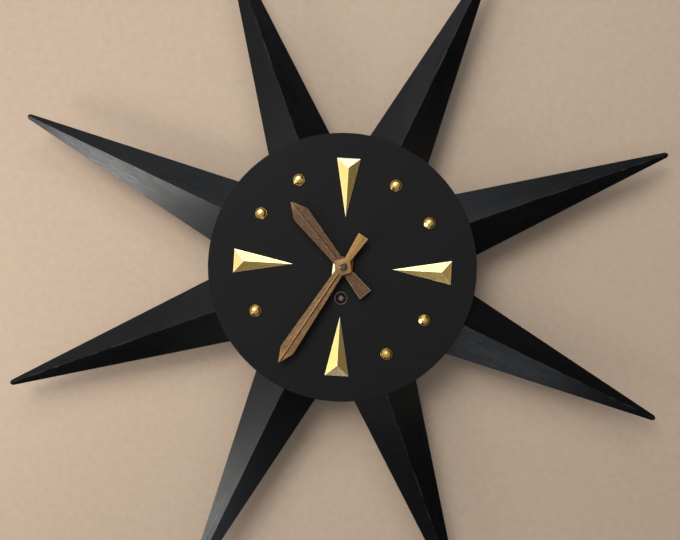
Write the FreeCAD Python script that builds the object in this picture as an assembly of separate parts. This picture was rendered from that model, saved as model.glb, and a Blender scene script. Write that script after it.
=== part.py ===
# Sunburst wall clock with a key-wound eight-day movement.
# The face looks along -Y, +Z is twelve o'clock, +X is three o'clock.
# Depths are distances in front of the wall. Clock angles run clockwise from twelve.
import math
import os

import FreeCAD
import Part

# face
DIAL_R = 125.0
DIAL_BACK = 46.0
DIAL_FRONT = 47.2
DIAL_BORE_R = 5.0
WINDING_DROP = 29.2

# rays
RAY_COUNT = 8
RAY_FIRST = 22.5
RAY_TIP_R = 335.0
RAY_APEX_R = 352.5
RAY_HALF_AT_DIAL = 31.3
RAY_BACK = 22.0
RAY_APEX_DEPTH = 26.0
RAY_EDGE_AT_DIAL = 27.5
RAY_TIP_HALF = 2.4

# hub
HUB_APOTHEM = 90.0
HUB_POCKET_R = 64.0
HUB_WEB_BACK = 41.0
HUB_BORE_R = 15.0
RAY_SCREW_SIDE = 14.0
RAY_SCREW_DEPTH = 31.0
DOWEL_DEPTH = 33.0

# markers and dots
MARKER_OUTER = 101.0
MARKER_PEAK = 91.2
MARKER_INNER = 46.4
MARKER_HALF = 11.0
MARKER_RIM = 0.6
MARKER_RISE = 5.2
DOT_RING_R = 90.5
DOT_R = 5.65
DOT_CROWN_R = 5.0
DOT_TABLE_R = 3.1
DOT_RISE = 3.3
DOT_SIDES = 8
PEG_DEPTH = 0.6

# hands, resting at 10:35
MINUTE_ANGLE = 210.6
HOUR_ANGLE = 318.1
HOUR_BACK = 51.2
HOUR_FRONT = 52.2
MINUTE_BACK = 54.0
MINUTE_FRONT = 55.0
HOUR_RIDGE = 52.75
MINUTE_RIDGE = 55.55
HAND_SLOPE = 0.05
RIB_HALF = 1.1
RIB_RISE = 0.8
RIB_SINK = 0.2
COLLET_R = 7.6
ROOF_HALF = 13.0
BOSS_CORNER = 13.0
BOSS_SLOPE = 4.0
SQUARE_TURN = 28.0

# case back
COVER_WALL = 0.8
COVER_FLOOR_R = 60.0
COVER_MOUTH_R = 66.0
COVER_FLANGE_R = 78.0
COVER_SCREW_R = 72.0
KEYHOLE_Z = 42.0
KEYHOLE_R = 4.5
KEYHOLE_SLOT_R = 2.4
KEYHOLE_TOP = 51.0
HANGER_THICK = 1.2

# movement frame
PLATE_HALF_X = 30.0
PLATE_TOP = 46.0
PLATE_LOW = -52.0
BACK_PLATE = (8.0, 9.5)
FRONT_PLATE = (31.5, 33.0)
PILLARS = [(-27.0, -48.0), (27.0, -48.0), (-27.0, 43.0), (27.0, 43.0)]
POSTS = [(-25.5, -33.0), (25.5, -33.0), (-25.5, 26.0), (25.5, 26.0)]
RUNNING = 0.05

# train: teeth and modules
GREAT_TEETH = 72
SECOND_LEAVES = 12
GREAT_MODULE = 0.55
SECOND_TEETH = 60
CENTRE_LEAVES = 12
SECOND_MODULE = 0.5
CENTRE_TEETH = 64
THIRD_LEAVES = 8
CENTRE_MODULE = 0.45
THIRD_TEETH = 60
FOURTH_LEAVES = 8
THIRD_MODULE = 0.4
FOURTH_TEETH = 64
ESCAPE_LEAVES = 8
FOURTH_MODULE = 0.35
CANNON_LEAVES = 12
MINUTE_TEETH = 36
CANNON_MODULE = 0.5
MINUTE_LEAVES = 10
HOUR_TEETH = 40
HOUR_MODULE = 0.48

# escapement
ESCAPE_TEETH = 15
ESCAPE_TIP_R = 6.0
ESCAPE_ROOT_R = 4.4
PALLET_DISTANCE = 8.0
PALLET_PIN_R = 0.25
PALLET_REACH = 6.35
FORK_DISTANCE = 9.6
IMPULSE_R = 2.2
LEVER_WAY = 50.0
BALANCE_R = 8.0

RATCHET_TEETH = 24
RATCHET_TIP_R = 9.0
RATCHET_ROOT_R = 7.6


def polar(radius, degrees):
    turn = math.radians(degrees)
    return (radius * math.cos(turn), radius * math.sin(turn))


def clock(radius, degrees):
    turn = math.radians(degrees)
    return (radius * math.sin(turn), radius * math.cos(turn))


def shifted(origin, offset):
    return (origin[0] + offset[0], origin[1] + offset[1])


def at(x, z, depth):
    return FreeCAD.Vector(x, -depth, z)


def cyl(radius, near, far, spot=(0.0, 0.0)):
    axis = FreeCAD.Vector(0, -1, 0)
    return Part.makeCylinder(radius, far - near, at(spot[0], spot[1], near), axis)


def tube(outer, inner, near, far, spot=(0.0, 0.0)):
    hole = cyl(inner, near - 1.0, far + 1.0, spot)
    return cyl(outer, near, far, spot).cut(hole)


def slab(points, near, far):
    corners = [at(x, z, near) for x, z in points]
    wire = Part.makePolygon(corners + corners[:1])
    return Part.Face(wire).extrude(FreeCAD.Vector(0, near - far, 0))


def block(x0, x1, z0, z1, near, far):
    return slab([(x0, z0), (x1, z0), (x1, z1), (x0, z1)], near, far)


def faceted(corner_lists):
    faces = []
    for corners in corner_lists:
        spots = [at(*c) for c in corners]
        faces.append(Part.Face(Part.makePolygon(spots + spots[:1])))
    solid = Part.Solid(Part.makeShell(faces))
    if solid.Volume < 0:
        solid.reverse()
    return solid


def spin(shape, degrees, spot=(0.0, 0.0)):
    turned = shape.copy()
    turned.rotate(at(spot[0], spot[1], 0.0), FreeCAD.Vector(0, 1, 0), degrees)
    return turned


def joined(shapes):
    return shapes[0].multiFuse(shapes[1:]).removeSplitter()


def group(shapes):
    return Part.makeCompound(shapes)


def polygon(sides, radius, spot=(0.0, 0.0), first=0.0):
    return [shifted(spot, polar(radius, first + 360.0 * k / sides)) for k in range(sides)]


def along(radius, start, end, side, depth):
    # a round bar that runs outwards along the twelve o'clock radius
    axis = FreeCAD.Vector(0, 0, 1)
    return Part.makeCylinder(radius, end - start, at(side, start, depth), axis)


def save(name, shape):
    os.makedirs("parts", exist_ok=True)
    shape.exportStep("parts/" + name + ".step")


# ---------------------------------------------------------------- teeth


def epicycloid_turn(pitch_r, rolling_r, radius):
    big = pitch_r + rolling_r
    cosine = (big * big + rolling_r * rolling_r - radius * radius) / (2.0 * big * rolling_r)
    roll = math.acos(max(-1.0, min(1.0, cosine))) * rolling_r / pitch_r
    arm = roll * big / rolling_r
    x = big * math.cos(roll) - rolling_r * math.cos(arm)
    y = big * math.sin(roll) - rolling_r * math.sin(arm)
    return math.degrees(math.atan2(y, x))


def gear(teeth, module, mate, spot, phase, wheel):
    pitch_r = teeth * module / 2.0
    rolling_r = mate * module / 4.0
    share = 0.46 if wheel else 0.40
    addendum = 1.1 * module if wheel else 0.65 * module
    root = pitch_r - 1.35 * module if wheel else pitch_r - 1.6 * module
    half = 180.0 / teeth * share
    top_r = pitch_r + addendum
    while epicycloid_turn(pitch_r, rolling_r, top_r) > 0.82 * half:
        top_r -= 0.02 * module
    mid_r = (pitch_r + top_r) / 2.0
    mid = half - epicycloid_turn(pitch_r, rolling_r, mid_r)
    top = half - epicycloid_turn(pitch_r, rolling_r, top_r)
    points = []
    for k in range(teeth):
        way = phase + 360.0 * k / teeth
        points.append(shifted(spot, polar(root, way - half)))
        points.append(shifted(spot, polar(pitch_r, way - half)))
        points.append(shifted(spot, polar(mid_r, way - mid)))
        points.append(shifted(spot, polar(top_r, way - top)))
        points.append(shifted(spot, polar(top_r, way + top)))
        points.append(shifted(spot, polar(mid_r, way + mid)))
        points.append(shifted(spot, polar(pitch_r, way + half)))
        points.append(shifted(spot, polar(root, way + half)))
    return points


def meshed_phase(spot_a, teeth_a, phase_a, spot_b, teeth_b):
    way = math.degrees(math.atan2(spot_b[1] - spot_a[1], spot_b[0] - spot_a[0]))
    ahead = (phase_a - way) % (360.0 / teeth_a)
    return way + 180.0 - ahead * teeth_a / teeth_b + 180.0 / teeth_b


def crossed(wheel, spot, inner, outer, spokes, width, near, far):
    windows = tube(outer, inner, near - 0.5, far + 0.5, spot)
    for k in range(spokes):
        bar = block(spot[0] - width / 2, spot[0] + width / 2, spot[1], spot[1] + outer + 1,
                    near - 0.6, far + 0.6)
        windows = windows.cut(spin(bar, 360.0 * k / spokes, spot))
    return wheel.cut(windows)


def arbor(spot, radius, pivot):
    body = cyl(radius, BACK_PLATE[1] + 0.2, FRONT_PLATE[0] - 0.2, spot)
    pin = cyl(pivot, BACK_PLATE[0] - 0.2, FRONT_PLATE[1] + 0.2, spot)
    return body.fuse(pin)


# ------------------------------------------------------- arbor positions

CENTRE = (0.0, 0.0)
BARREL = (0.0, -WINDING_DROP)


def crossing(spot_a, reach_a, spot_b, reach_b, side):
    dx = spot_b[0] - spot_a[0]
    dz = spot_b[1] - spot_a[1]
    gap = math.hypot(dx, dz)
    base = (reach_a ** 2 - reach_b ** 2 + gap ** 2) / (2.0 * gap)
    rise = side * math.sqrt(reach_a ** 2 - base ** 2)
    return (spot_a[0] + (dx * base - dz * rise) / gap, spot_a[1] + (dz * base + dx * rise) / gap)


SECOND_REACH = (GREAT_TEETH + SECOND_LEAVES) * GREAT_MODULE / 2.0
CENTRE_REACH = (SECOND_TEETH + CENTRE_LEAVES) * SECOND_MODULE / 2.0
THIRD_REACH = (CENTRE_TEETH + THIRD_LEAVES) * CENTRE_MODULE / 2.0
FOURTH_REACH = (THIRD_TEETH + FOURTH_LEAVES) * THIRD_MODULE / 2.0
ESCAPE_REACH = (FOURTH_TEETH + ESCAPE_LEAVES) * FOURTH_MODULE / 2.0
MOTION_REACH = (CANNON_LEAVES + MINUTE_TEETH) * CANNON_MODULE / 2.0

SECOND = crossing(BARREL, SECOND_REACH, CENTRE, CENTRE_REACH, 1.0)
THIRD = polar(THIRD_REACH, 150.0)
FOURTH = shifted(THIRD, polar(FOURTH_REACH, 42.0))
ESCAPE = shifted(FOURTH, polar(ESCAPE_REACH, 10.0))
PALLET = shifted(ESCAPE, polar(PALLET_DISTANCE, LEVER_WAY))
BALANCE = shifted(PALLET, polar(FORK_DISTANCE, LEVER_WAY))
MINUTE_STUD = polar(MOTION_REACH, 150.0)
CLICK_SPOT = shifted(BARREL, polar(12.4, 108.0))

GREAT_PHASE = 0.0
SECOND_PINION_PHASE = meshed_phase(BARREL, GREAT_TEETH, GREAT_PHASE, SECOND, SECOND_LEAVES)
CENTRE_PINION_PHASE = meshed_phase(SECOND, SECOND_TEETH, 0.0, CENTRE, CENTRE_LEAVES)
THIRD_PHASE = meshed_phase(CENTRE, CENTRE_TEETH, 0.0, THIRD, THIRD_LEAVES)
FOURTH_PHASE = meshed_phase(THIRD, THIRD_TEETH, 0.0, FOURTH, FOURTH_LEAVES)
ESCAPE_PHASE = meshed_phase(FOURTH, FOURTH_TEETH, 0.0, ESCAPE, ESCAPE_LEAVES)
MINUTE_PHASE = meshed_phase(CENTRE, CANNON_LEAVES, 0.0, MINUTE_STUD, MINUTE_TEETH)
HOUR_PHASE = meshed_phase(MINUTE_STUD, MINUTE_LEAVES, 0.0, CENTRE, HOUR_TEETH)

# ------------------------------------------------------------------ case


def dial():
    plate = cyl(DIAL_R, DIAL_BACK, DIAL_FRONT)
    rim = [e for e in plate.Edges if e.Closed and abs(e.BoundBox.YMin + DIAL_FRONT) < 0.01]
    plate = plate.makeChamfer(0.35, rim)
    plate = plate.cut(cyl(DIAL_BORE_R, 45.0, 48.0))
    plate = plate.cut(cyl(5.8, 45.0, 48.0, BARREL))
    for turn in (0.0, 90.0, 180.0, 270.0):
        for radius in (66.0, 90.0):
            plate = plate.cut(cyl(0.95, DIAL_FRONT - PEG_DEPTH, 48.0, clock(radius, turn)))
    for turn in dot_turns():
        plate = plate.cut(cyl(0.95, DIAL_FRONT - PEG_DEPTH, 48.0, clock(DOT_RING_R, turn)))
    return plate


def dot_turns():
    return [30.0 * hour for hour in (1, 2, 4, 5, 7, 8, 10, 11)]


def winding_eyelet():
    barrel = tube(5.8, 5.05, 44.6, DIAL_FRONT, BARREL)
    lip = tube(6.2, 5.05, DIAL_FRONT, DIAL_FRONT + 0.5, BARREL)
    edges = [e for e in lip.Edges if e.Closed and abs(e.BoundBox.YMin + DIAL_FRONT + 0.5) < 0.01]
    lip = lip.makeFillet(0.3, edges)
    return barrel.fuse(lip)


def marker(turn):
    low = DIAL_FRONT
    rim = DIAL_FRONT + MARKER_RIM
    plan = [(-MARKER_HALF, MARKER_OUTER), (MARKER_HALF, MARKER_OUTER), (0.0, MARKER_INNER)]
    under = [(x, z, low) for x, z in plan]
    over = [(x, z, rim) for x, z in plan]
    peak = (0.0, MARKER_PEAK, DIAL_FRONT + MARKER_RISE)
    faces = [under]
    for k in range(3):
        n = (k + 1) % 3
        faces.append([under[k], under[n], over[n], over[k]])
        faces.append([over[k], over[n], peak])
    body = faceted(faces)
    pegs = [cyl(0.9, DIAL_FRONT - PEG_DEPTH, DIAL_FRONT + 0.3, (0.0, radius)) for radius in (66.0, 90.0)]
    return spin(joined([body] + pegs), turn)


def dot(turn):
    # a round foot with a chamfered edge, under a low crown with eight sides
    spot = clock(DOT_RING_R, turn)
    foot = cyl(DOT_R, DIAL_FRONT, DIAL_FRONT + 0.5, spot)
    chamfer = Part.makeCone(DOT_R, DOT_R - 0.4, 0.35, at(spot[0], spot[1], DIAL_FRONT + 0.5),
                            FreeCAD.Vector(0, -1, 0))
    rings = []
    for radius, rise in [(DOT_CROWN_R, 0.2), (DOT_CROWN_R, 1.0), (DOT_TABLE_R, DOT_RISE - 0.7)]:
        ring = polygon(DOT_SIDES, radius, spot, 22.5 - turn)
        rings.append([(x, z, DIAL_FRONT + rise) for x, z in ring])
    peak = (spot[0], spot[1], DIAL_FRONT + DOT_RISE)
    faces = [rings[0]]
    for k in range(DOT_SIDES):
        n = (k + 1) % DOT_SIDES
        for low, high in zip(rings, rings[1:]):
            faces.append([low[k], low[n], high[n], high[k]])
        faces.append([rings[2][k], rings[2][n], peak])
    peg = cyl(0.9, DIAL_FRONT - PEG_DEPTH, DIAL_FRONT + 0.3, spot)
    return joined([foot, chamfer, faceted(faces), peg])


def ray_half(radius):
    return RAY_HALF_AT_DIAL * (RAY_APEX_R - radius) / (RAY_APEX_R - DIAL_R)


def ray_level(radius, at_dial):
    share = (RAY_APEX_R - radius) / (RAY_APEX_R - DIAL_R)
    return RAY_APEX_DEPTH + (at_dial - RAY_APEX_DEPTH) * share


def ray_section(radius):
    half = ray_half(radius)
    edge = ray_level(radius, RAY_EDGE_AT_DIAL)
    ridge = ray_level(radius, DIAL_BACK)
    low = [(-half, radius, RAY_BACK), (half, radius, RAY_BACK)]
    return low + [(half, radius, edge), (0.0, radius, ridge), (-half, radius, edge)]


def ray_tip():
    # the plan of a ray, with its blunt rounded end
    shoulder = RAY_TIP_R - 1.9
    half = ray_half(shoulder)
    wide = ray_half(HUB_APOTHEM) + 1.0
    a = at(-half, shoulder, RAY_BACK - 1)
    b = at(0.0, RAY_TIP_R, RAY_BACK - 1)
    c = at(half, shoulder, RAY_BACK - 1)
    d = at(wide, HUB_APOTHEM, RAY_BACK - 1)
    e = at(-wide, HUB_APOTHEM, RAY_BACK - 1)
    edges = [Part.Arc(a, b, c).toShape(), Part.makeLine(c, d), Part.makeLine(d, e)]
    wire = Part.Wire(edges + [Part.makeLine(e, a)])
    return Part.Face(wire).extrude(FreeCAD.Vector(0, -40, 0))


def ray(turn):
    inner = ray_section(HUB_APOTHEM)
    outer = ray_section(RAY_TIP_R + 2.0)
    faces = [inner, outer]
    for k in range(5):
        n = (k + 1) % 5
        faces.append([inner[k], inner[n], outer[n], outer[k]])
    body = faceted(faces).common(ray_tip())
    body = body.cut(block(-60, 60, HUB_APOTHEM - 1, DIAL_R, DIAL_BACK, DIAL_BACK + 20))
    for side in (-RAY_SCREW_SIDE, RAY_SCREW_SIDE):
        body = body.cut(along(2.0, HUB_APOTHEM - 1, 116.0, side, RAY_SCREW_DEPTH))
    body = body.cut(along(4.0, HUB_APOTHEM - 1, 107.0, 0.0, DOWEL_DEPTH))
    return spin(body, turn)


def ray_turns():
    return [RAY_FIRST + 360.0 / RAY_COUNT * k for k in range(RAY_COUNT)]


def hub():
    corner = HUB_APOTHEM / math.cos(math.pi / RAY_COUNT)
    body = slab(polygon(RAY_COUNT, corner), RAY_BACK, DIAL_BACK)
    body = body.cut(cyl(HUB_POCKET_R, RAY_BACK - 1, HUB_WEB_BACK))
    body = body.cut(cyl(HUB_BORE_R, 40.0, 47.0))
    body = body.cut(cyl(7.0, 40.0, 47.0, BARREL))
    for turn in ray_turns():
        tools = [along(4.0, 78.0, HUB_APOTHEM + 1, 0.0, DOWEL_DEPTH)]
        for side in (-RAY_SCREW_SIDE, RAY_SCREW_SIDE):
            tools.append(along(2.1, 58.0, HUB_APOTHEM + 1, side, RAY_SCREW_DEPTH))
            tools.append(along(4.3, 58.0, 68.5, side, RAY_SCREW_DEPTH))
        for tool in tools:
            body = body.cut(spin(tool, turn))
    for spot in POSTS:
        body = body.cut(cyl(1.7, 40.0, 47.0, spot))
        body = body.cut(cyl(3.4, 43.6, 47.0, spot))
    for spot in dial_feet_spots():
        body = body.cut(cyl(1.7, 40.0, 47.0, spot))
        body = body.cut(cyl(3.3, 45.0, 47.0, spot))
    for spot in cover_screw_spots():
        body = body.cut(cyl(1.5, 21.0, 32.0, spot))
    return body


def ray_screws():
    shapes = []
    for turn in ray_turns():
        for side in (-RAY_SCREW_SIDE, RAY_SCREW_SIDE):
            head = along(3.9, 65.9, 68.5, side, RAY_SCREW_DEPTH)
            shank = along(1.9, 68.4, 114.0, side, RAY_SCREW_DEPTH)
            slot = Part.makeBox(9.0, 1.0, 1.0, at(side - 4.5, 65.4, RAY_SCREW_DEPTH + 0.5))
            shapes.append(spin(head.fuse(shank).cut(slot), turn))
    return group(shapes)


def ray_dowels():
    return group([spin(along(3.95, 78.5, 106.5, 0.0, DOWEL_DEPTH), turn) for turn in ray_turns()])


def dial_feet_spots():
    return [clock(52.0, turn) for turn in (45.0, 135.0, 225.0, 315.0)]


def dial_feet():
    shapes = []
    for spot in dial_feet_spots():
        shapes.append(cyl(3.0, 45.2, DIAL_BACK, spot).fuse(cyl(1.5, 36.6, 45.3, spot)))
    return group(shapes)


def hex_nut(spot, across, bore, near, far):
    corner = across / math.sqrt(3.0)
    return slab(polygon(6, corner, spot), near, far).cut(cyl(bore, near - 1, far + 1, spot))


def dial_nuts():
    shapes = []
    for spot in dial_feet_spots():
        nut = hex_nut(spot, 5.5, 1.52, 38.2, 40.5)
        shapes.append(nut.fuse(tube(3.6, 1.6, 40.4, HUB_WEB_BACK, spot)))
    return group(shapes)


def cover_screw_spots():
    return [clock(COVER_SCREW_R, turn) for turn in (0.0, 90.0, 180.0, 270.0)]


def keyhole(radius, slot, near, far):
    entry = cyl(radius, near, far, (0.0, KEYHOLE_Z))
    way = block(-slot, slot, KEYHOLE_Z, KEYHOLE_TOP - slot, near, far)
    return joined([entry, way, cyl(slot, near, far, (0.0, KEYHOLE_TOP - slot))])


def pan(floor_r, mouth_r, near, far):
    low = Part.makeCone(floor_r - 2.5, floor_r, 2.5, at(0, 0, near), FreeCAD.Vector(0, -1, 0))
    wall = Part.makeCone(floor_r, mouth_r, far - near - 2.5, at(0, 0, near + 2.5),
                         FreeCAD.Vector(0, -1, 0))
    return low.fuse(wall)


def regulator_slot(near, far):
    ring = tube(16.0, 11.0, near, far, BALANCE)
    wedge = [BALANCE]
    for turn in (-56.0, -43.0, -30.0, -17.0, -4.0):
        wedge.append(shifted(BALANCE, polar(24.0, turn)))
    return ring.common(slab(wedge, near, far))


def back_cover():
    body = pan(COVER_FLOOR_R, COVER_MOUTH_R, 0.0, RAY_BACK)
    body = body.fuse(cyl(COVER_FLANGE_R, RAY_BACK - COVER_WALL, RAY_BACK))
    inside = pan(COVER_FLOOR_R - COVER_WALL, COVER_MOUTH_R - COVER_WALL, COVER_WALL, RAY_BACK + 1)
    body = body.cut(inside)
    body = body.cut(keyhole(KEYHOLE_R + 1.0, KEYHOLE_SLOT_R + 1.0, -1.0, 2.0))
    body = body.cut(regulator_slot(-1.0, 2.0))
    for spot in hanger_rivet_spots():
        body = body.cut(cyl(1.5, -1.0, 2.0, spot))
    for spot in cover_screw_spots():
        body = body.cut(cyl(1.8, 20.0, 23.0, spot))
    for turn in (150.0, 165.0, 180.0, 195.0, 210.0):
        body = body.cut(cyl(1.5, -1.0, 2.0, clock(46.0, turn)))
    return body


def cover_screws():
    shapes = []
    for spot in cover_screw_spots():
        head = cyl(3.0, 19.2, RAY_BACK - COVER_WALL, spot)
        shank = cyl(1.45, 21.1, 31.0, spot)
        slot = block(spot[0] - 4, spot[0] + 4, spot[1] - 0.4, spot[1] + 0.4, 18.0, 19.9)
        shapes.append(head.fuse(shank).cut(slot))
    return group(shapes)


def hanger_rivet_spots():
    return [(-10.0, 37.5), (10.0, 37.5), (-10.0, 50.5), (10.0, 50.5)]


def hanger_plate():
    near = COVER_WALL
    far = COVER_WALL + HANGER_THICK
    body = block(-13.5, 13.5, 34.0, 54.4, near, far)
    body = body.cut(keyhole(KEYHOLE_R, KEYHOLE_SLOT_R, near - 1, far + 1))
    for spot in hanger_rivet_spots():
        body = body.cut(cyl(1.5, near - 1, far + 1, spot))
    return body


def hanger_rivets():
    shapes = []
    top = COVER_WALL + HANGER_THICK
    for spot in hanger_rivet_spots():
        shapes.append(cyl(1.45, 0.05, top, spot).fuse(cyl(2.6, top, top + 0.9, spot)))
    return group(shapes)


# ----------------------------------------------------------------- hands


def roofed(plan, back, ridge):
    # a pressed hand: its plan, with two shallow slopes that meet on its centre line
    eave = ridge - ROOF_HALF * HAND_SLOPE
    section = [(-ROOF_HALF, back), (ROOF_HALF, back), (ROOF_HALF, eave), (0.0, ridge), (-ROOF_HALF, eave)]
    corners = [at(x, -40.0, depth) for x, depth in section]
    face = Part.Face(Part.makePolygon(corners + corners[:1]))
    prism = face.extrude(FreeCAD.Vector(0, 0, 150.0))
    return slab(plan, back, ridge + 1.0).common(prism)


def diamond(corner, depth):
    return [(x, z, depth) for x, z in polygon(4, corner)]


def square_boss():
    # the hour hand's boss: a square set on its corners, with wide polished slopes
    rings = [diamond(BOSS_CORNER, HOUR_BACK), diamond(BOSS_CORNER, HOUR_BACK + 0.3),
             diamond(BOSS_CORNER - BOSS_SLOPE, HOUR_RIDGE)]
    faces = [rings[0], rings[2]]
    for low, high in zip(rings, rings[1:]):
        for k in range(4):
            n = (k + 1) % 4
            faces.append([low[k], low[n], high[n], high[k]])
    return faceted(faces)


def rib(near, far, ridge):
    # the sharp raised line along a hand, which thins towards the tip
    sections = []
    for along_hand, share in ((near, 1.0), (far, 0.45)):
        half = RIB_HALF * share
        low = ridge - RIB_SINK
        sections.append([(-half, along_hand, low), (half, along_hand, low),
                         (0.0, along_hand, low + RIB_RISE * share)])
    first, last = sections
    faces = [first, last]
    for k in range(3):
        n = (k + 1) % 3
        faces.append([first[k], first[n], last[n], last[k]])
    return faceted(faces)


def hour_hand():
    plan = [(-4.6, 8.0), (-8.2, 61.5), (-7.3, 64.0), (-0.6, 76.0), (0.6, 76.0), (7.3, 64.0)]
    plan += [(8.2, 61.5), (4.6, 8.0), (4.2, -8.0), (6.5, -33.2), (-6.5, -33.2), (-4.2, -8.0)]
    body = roofed(plan, HOUR_BACK, HOUR_RIDGE)
    body = joined([body, square_boss(), rib(8.0, 72.0, HOUR_RIDGE)])
    body = body.cut(cyl(3.53, HOUR_BACK - 1, HOUR_RIDGE + 1))
    return spin(body, HOUR_ANGLE)


def hour_collet():
    # a polished brass washer with a sloped edge, under the hour hand
    edge = cyl(COLLET_R, 48.5, 49.9)
    slope = Part.makeCone(COLLET_R, 6.4, HOUR_BACK - 49.9, at(0, 0, 49.9), FreeCAD.Vector(0, -1, 0))
    return joined([edge, slope]).cut(cyl(3.5, 45.0, 55.0))


def minute_hand():
    plan = [(-4.0, 7.0), (-6.7, 91.5), (-5.9, 93.5), (-0.5, 105.0), (0.5, 105.0), (5.9, 93.5)]
    plan += [(6.7, 91.5), (4.0, 7.0), (9.4, 0.0), (2.8, -7.4), (5.1, -33.6), (-5.1, -33.6)]
    plan += [(-2.8, -7.4), (-9.4, 0.0)]
    body = roofed(plan, MINUTE_BACK, MINUTE_RIDGE)
    body = joined([body, cyl(4.4, MINUTE_BACK, MINUTE_RIDGE)])
    body = joined([body, rib(7.0, 102.0, MINUTE_RIDGE)])
    body = body.cut(cyl(1.83, MINUTE_BACK - 1, MINUTE_RIDGE + 1))
    return spin(body, MINUTE_ANGLE)


def hand_nut():
    skirt = cyl(3.75, MINUTE_RIDGE + 0.25, MINUTE_RIDGE + 1.4)
    washer = cyl(3.3, MINUTE_RIDGE, MINUTE_RIDGE + 0.25)
    dome = Part.makeCone(3.75, 2.5, 0.7, at(0, 0, MINUTE_RIDGE + 1.4), FreeCAD.Vector(0, -1, 0))
    boss = Part.makeCone(2.2, 1.9, 0.45, at(0, 0, MINUTE_RIDGE + 2.1), FreeCAD.Vector(0, -1, 0))
    body = joined([skirt, washer, dome, boss])
    return body.cut(cyl(1.25, MINUTE_RIDGE - 1, MINUTE_RIDGE + 3))


# -------------------------------------------------------------- movement


def plate_outline(near, far):
    cut = 5.0
    right = PLATE_HALF_X
    points = [(-right + cut, PLATE_LOW), (right - cut, PLATE_LOW), (right, PLATE_LOW + cut)]
    points += [(right, PLATE_TOP - cut), (right - cut, PLATE_TOP), (-right + cut, PLATE_TOP)]
    points += [(-right, PLATE_TOP - cut), (-right, PLATE_LOW + cut)]
    return slab(points, near, far)


def pivot_holes(body):
    small = [(SECOND, 0.8), (THIRD, 0.6), (FOURTH, 0.5), (ESCAPE, 0.45), (PALLET, 0.4)]
    for spot, radius in small:
        body = body.cut(cyl(radius + RUNNING, 5.0, 36.0, spot))
    body = body.cut(cyl(1.75, 5.0, 36.0, BALANCE))
    for spot in PILLARS:
        body = body.cut(cyl(1.55, 5.0, 36.0, spot))
    return body


def front_plate():
    body = pivot_holes(plate_outline(*FRONT_PLATE))
    body = body.cut(cyl(1.5 + RUNNING, 30.0, 34.0))
    body = body.cut(cyl(3.0 + RUNNING, 30.0, 34.0, BARREL))
    for spot in POSTS:
        body = body.cut(cyl(1.5, 30.0, 34.0, spot))
    stud = cyl(1.2, FRONT_PLATE[1] - 0.5, 39.6, MINUTE_STUD)
    shoulder = cyl(2.0, FRONT_PLATE[1] - 0.5, 34.4, MINUTE_STUD)
    click_stud = cyl(1.0, FRONT_PLATE[1] - 0.5, 35.6, CLICK_SPOT)
    return joined([body, stud, shoulder, click_stud])


def back_plate():
    body = pivot_holes(plate_outline(*BACK_PLATE))
    body = body.cut(cyl(0.8 + RUNNING, 7.0, 10.0))
    body = body.cut(cyl(1.5 + RUNNING, 7.0, 10.0, BARREL))
    ring = tube(6.3, 4.0, 7.0, 10.0, BALANCE)
    wedge = [BALANCE]
    for turn in (118.0, 134.0, 150.0, 166.0, 182.0):
        wedge.append(shifted(BALANCE, polar(9.0, turn)))
    return body.cut(ring.common(slab(wedge, 7.0, 10.0)))


def pillars():
    shapes = []
    for spot in PILLARS:
        body = cyl(2.6, BACK_PLATE[1], FRONT_PLATE[0], spot)
        shapes.append(body.fuse(cyl(1.5, BACK_PLATE[0] - 2.2, FRONT_PLATE[1] + 2.2, spot)))
    return group(shapes)


def pillar_nuts():
    shapes = []
    for spot in PILLARS:
        shapes.append(hex_nut(spot, 5.0, 1.52, BACK_PLATE[0] - 1.8, BACK_PLATE[0]))
        shapes.append(hex_nut(spot, 5.0, 1.52, FRONT_PLATE[1], FRONT_PLATE[1] + 1.8))
    return group(shapes)


def movement_posts():
    return group([tube(3.0, 1.6, FRONT_PLATE[1], HUB_WEB_BACK, spot) for spot in POSTS])


def movement_screws():
    shapes = []
    for spot in POSTS:
        head = cyl(3.0, 43.6, 45.6, spot)
        shank = cyl(1.45, 30.9, 43.7, spot)
        slot = block(spot[0] - 4, spot[0] + 4, spot[1] - 0.4, spot[1] + 0.4, 44.8, 46.0)
        shapes.append(head.fuse(shank).cut(slot))
    return group(shapes)


def barrel():
    wheel = slab(gear(GREAT_TEETH, GREAT_MODULE, SECOND_LEAVES, BARREL, GREAT_PHASE, True), 21, 23)
    drum = tube(17.5, 16.5, 11.5, 21.5, BARREL)
    boss = cyl(6.0, 22.8, 24.0, BARREL)
    return joined([wheel, drum, boss]).cut(cyl(3.7 + RUNNING, 10.0, 25.0, BARREL))


def barrel_cap():
    cap = tube(16.46, 2.0 + RUNNING, 11.5, 12.4, BARREL)
    return cap.fuse(tube(4.0, 2.0 + RUNNING, 10.8, 11.6, BARREL))


def spiral(spot, inner, outer, turns, thick, steps, start, near, far):
    inside = []
    outside = []
    count = int(turns * steps)
    for k in range(count + 1):
        radius = inner + (outer - inner) * k / count
        way = start + 360.0 * k / steps
        inside.append(shifted(spot, polar(radius - thick / 2, way)))
        outside.append(shifted(spot, polar(radius + thick / 2, way)))
    return slab(inside + outside[::-1], near, far)


def mainspring():
    return spiral(BARREL, 4.1, 16.2, 14, 0.35, 20, 0.0, 13.0, 20.6)


def winding_square(near, far):
    square = block(-2.0, 2.0, BARREL[1] - 2.0, BARREL[1] + 2.0, near, far)
    return spin(square, SQUARE_TURN, BARREL)


def winding_arbor():
    parts = [cyl(1.5, BACK_PLATE[0] - 0.3, 9.9, BARREL)]
    parts.append(cyl(2.0, 9.8, 12.8, BARREL))
    parts.append(cyl(3.7, 12.7, 24.4, BARREL))
    parts.append(cyl(3.4, 24.3, 31.3, BARREL))
    parts.append(cyl(3.0, 31.2, 33.3, BARREL))
    parts.append(winding_square(33.2, 43.0))
    return joined(parts)


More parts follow.
